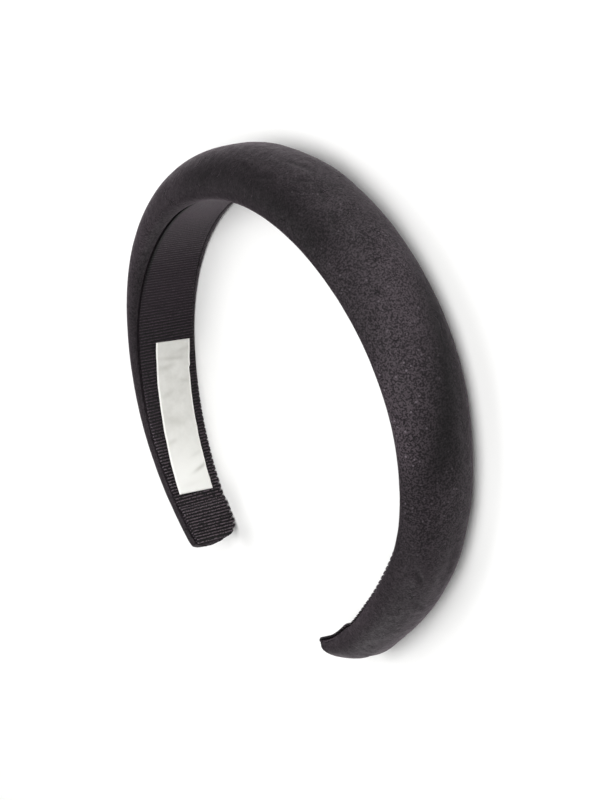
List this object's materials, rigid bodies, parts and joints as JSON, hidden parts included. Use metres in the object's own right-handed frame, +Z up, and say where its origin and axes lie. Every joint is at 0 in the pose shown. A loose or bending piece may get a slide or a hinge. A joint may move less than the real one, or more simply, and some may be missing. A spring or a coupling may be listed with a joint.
{
  "type": "padded headband",
  "caption": "Padded velvet headband with a ribbed ribbon lining and a bare label, lying on its side, open between its tips.",
  "frame": {"origin": "centre of the bounding box's bottom face, on the surface that the headband lies on", "axes": "+X across the band towards its right leg, +Y from the tips towards the crown, +Z up from the surface, towards the band's front edge"},
  "size_m": [0.1618, 0.147, 0.0271],
  "materials": {
    "velvet": "crushed black velvet pile",
    "grosgrain": "ribbed black grosgrain ribbon",
    "satin_label": "off-white woven satin, bare"
  },
  "bodies": {
    "root": {"velvet_pad": "velvet", "grosgrain_lining": "grosgrain", "woven_label": "satin_label"}
  },
  "joints": []
}
